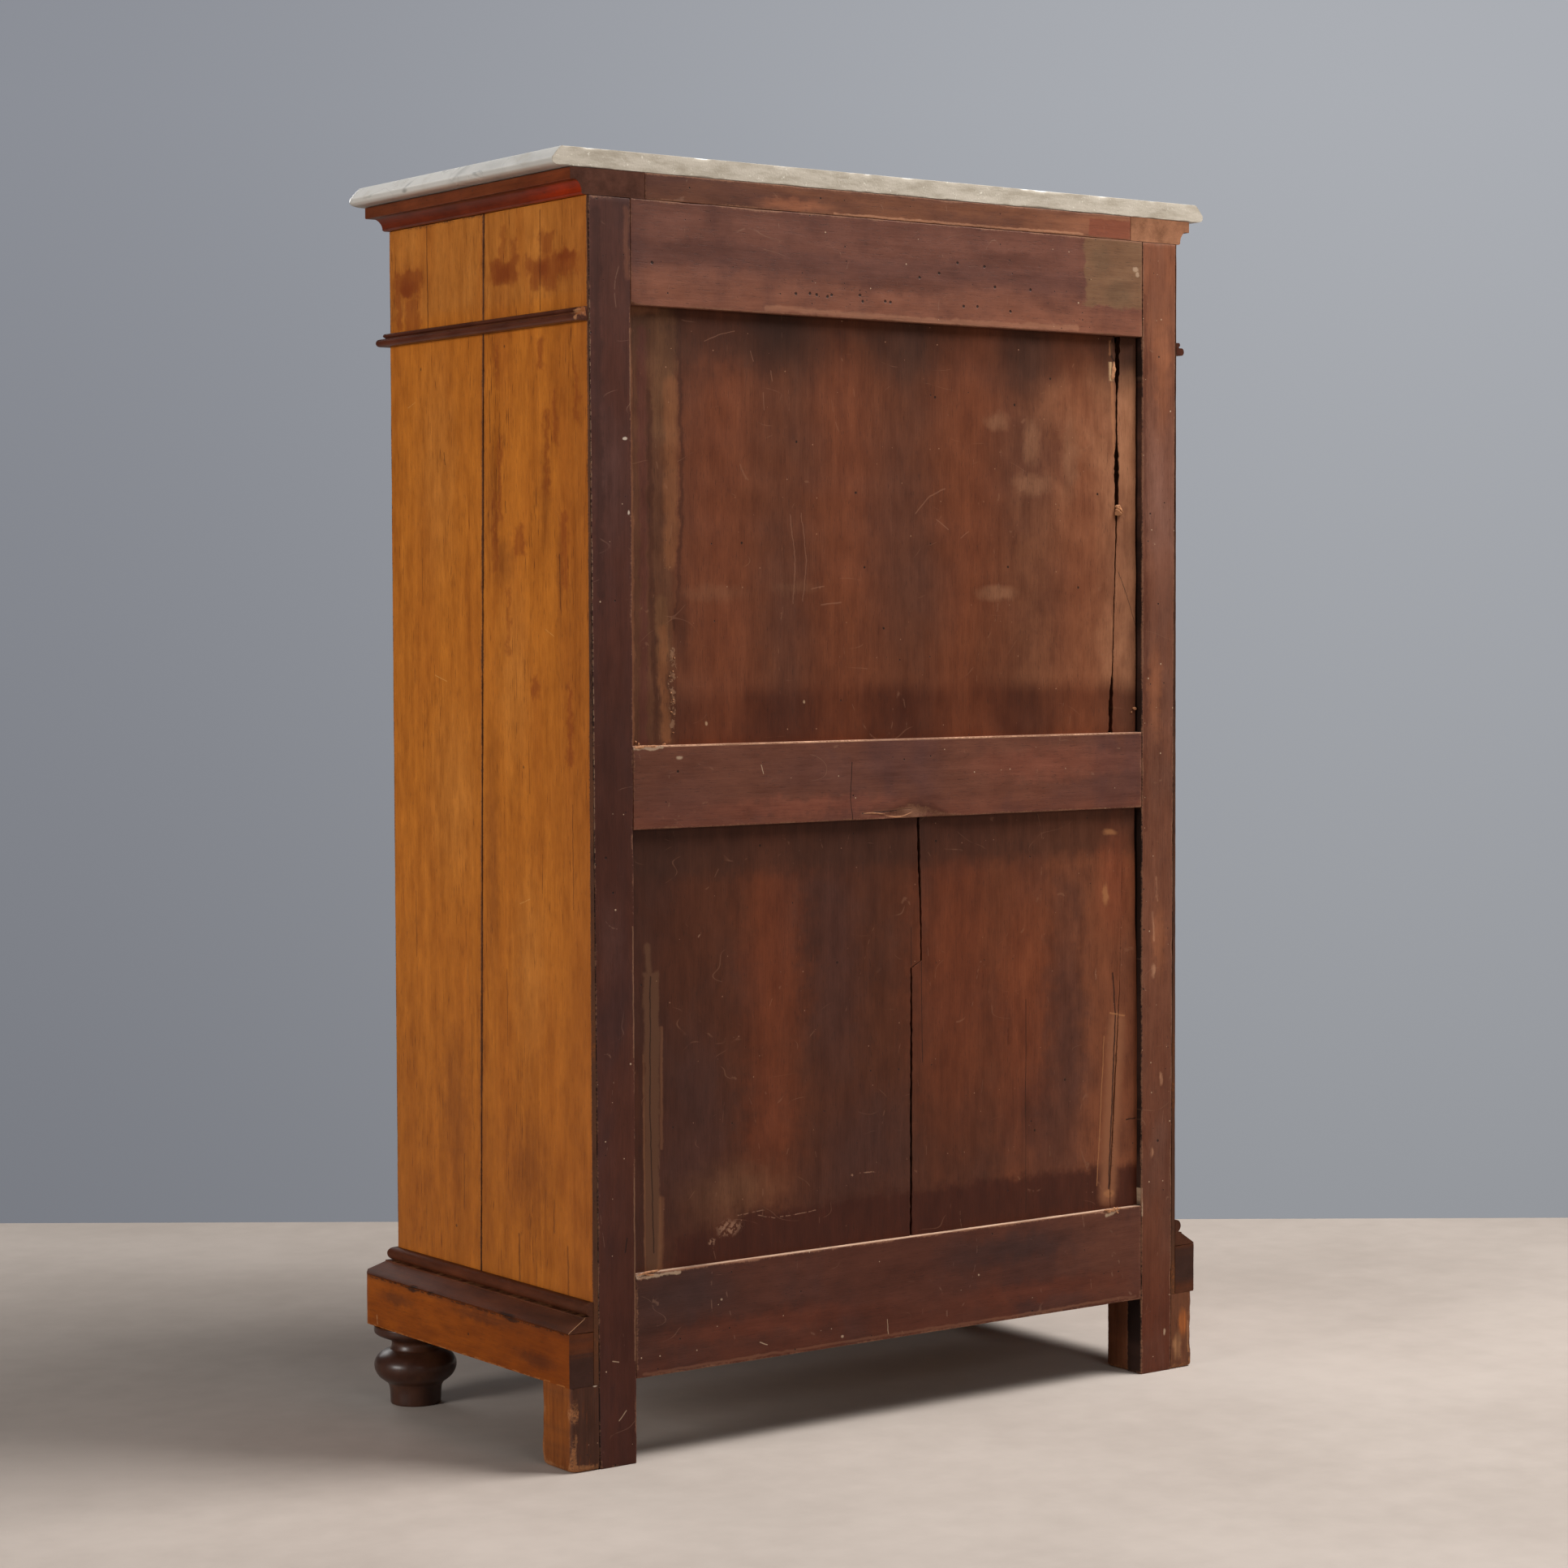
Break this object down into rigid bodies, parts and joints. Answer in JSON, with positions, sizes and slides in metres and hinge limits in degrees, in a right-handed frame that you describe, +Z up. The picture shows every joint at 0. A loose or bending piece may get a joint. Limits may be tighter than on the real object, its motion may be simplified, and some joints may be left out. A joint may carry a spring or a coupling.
{
  "type": "chest of drawers",
  "caption": "Tall wooden chest of drawers with a marble top, moulded cornice and waist, capped plinth, turned front feet and a frame-and-panel back; the drawers slide out to the front.",
  "frame": {"origin": "on the floor, below the middle of the marble top", "axes": "+Z up, +Y towards the panelled back, the drawers face -Y"},
  "size_m": [0.9872, 0.484, 1.5],
  "materials": {
    "marble": "honed grey-white marble, lightly veined and stained",
    "side_wood": "worn amber polish on vertical-grained softwood",
    "moulding_wood": "dark red-brown polish",
    "plinth_wood": "deep amber polish",
    "foot_block_wood": "worn, streaky stain",
    "turned_wood": "glossy near-black polish",
    "frame_wood": "dull red-brown stain, worn arrises",
    "panel_wood": "mottled brown stain, dry surface",
    "carcass_wood": "unfinished softwood",
    "drawer_front_wood": "amber polish on horizontal-grained wood",
    "drawer_wood": "unfinished softwood"
  },
  "bodies": {
    "carcass": {"marble_top": "marble", "cornice_front": "moulding_wood", "cornice_left": "moulding_wood", "cornice_right": "moulding_wood", "cornice_rear_rail": "frame_wood", "side_front_board_left": "side_wood", "side_front_board_right": "side_wood", "side_rear_board_left": "side_wood", "side_rear_board_right": "side_wood", "waist_moulding_front": "moulding_wood", "waist_moulding_left": "moulding_wood", "waist_moulding_right": "moulding_wood", "plinth_front": "plinth_wood", "plinth_left": "plinth_wood", "plinth_right": "plinth_wood", "plinth_cap_front": "moulding_wood", "plinth_cap_left": "moulding_wood", "plinth_cap_right": "moulding_wood", "rear_foot_block_left": "foot_block_wood", "rear_foot_block_right": "foot_block_wood", "bun_foot_left": "turned_wood", "bun_foot_right": "turned_wood", "rear_stile_left": "frame_wood", "rear_stile_right": "frame_wood", "back_rail_top": "frame_wood", "back_rail_middle": "frame_wood", "back_rail_bottom": "frame_wood", "back_panel_upper": "panel_wood", "back_panel_lower_left": "panel_wood", "back_panel_lower_right": "panel_wood", "front_post_left": "side_wood", "front_post_right": "side_wood", "carcass_bottom": "carcass_wood", "drawer_divider_1": "carcass_wood", "drawer_divider_2": "carcass_wood", "drawer_divider_3": "carcass_wood", "drawer_divider_4": "carcass_wood"},
    "drawer_1": {"drawer_1_front": "drawer_front_wood", "drawer_1_box": "drawer_wood", "drawer_1_bottom": "drawer_wood"},
    "drawer_2": {"drawer_2_front": "drawer_front_wood", "drawer_2_box": "drawer_wood", "drawer_2_bottom": "drawer_wood", "drawer_2_knob_left": "turned_wood", "drawer_2_knob_right": "turned_wood"},
    "drawer_3": {"drawer_3_front": "drawer_front_wood", "drawer_3_box": "drawer_wood", "drawer_3_bottom": "drawer_wood", "drawer_3_knob_left": "turned_wood", "drawer_3_knob_right": "turned_wood"},
    "drawer_4": {"drawer_4_front": "drawer_front_wood", "drawer_4_box": "drawer_wood", "drawer_4_bottom": "drawer_wood", "drawer_4_knob_left": "turned_wood", "drawer_4_knob_right": "turned_wood"},
    "drawer_5": {"drawer_5_front": "drawer_front_wood", "drawer_5_box": "drawer_wood", "drawer_5_bottom": "drawer_wood", "drawer_5_knob_left": "turned_wood", "drawer_5_knob_right": "turned_wood"}
  },
  "joints": [
    {"name": "drawer_1_slide", "type": "slide", "parent": "carcass", "child": "drawer_1", "axis": [0, -1, 0], "range_m": [0, 0.3]},
    {"name": "drawer_2_slide", "type": "slide", "parent": "carcass", "child": "drawer_2", "axis": [0, -1, 0], "range_m": [0, 0.3]},
    {"name": "drawer_3_slide", "type": "slide", "parent": "carcass", "child": "drawer_3", "axis": [0, -1, 0], "range_m": [0, 0.3]},
    {"name": "drawer_4_slide", "type": "slide", "parent": "carcass", "child": "drawer_4", "axis": [0, -1, 0], "range_m": [0, 0.3]},
    {"name": "drawer_5_slide", "type": "slide", "parent": "carcass", "child": "drawer_5", "axis": [0, -1, 0], "range_m": [0, 0.3]}
  ]
}
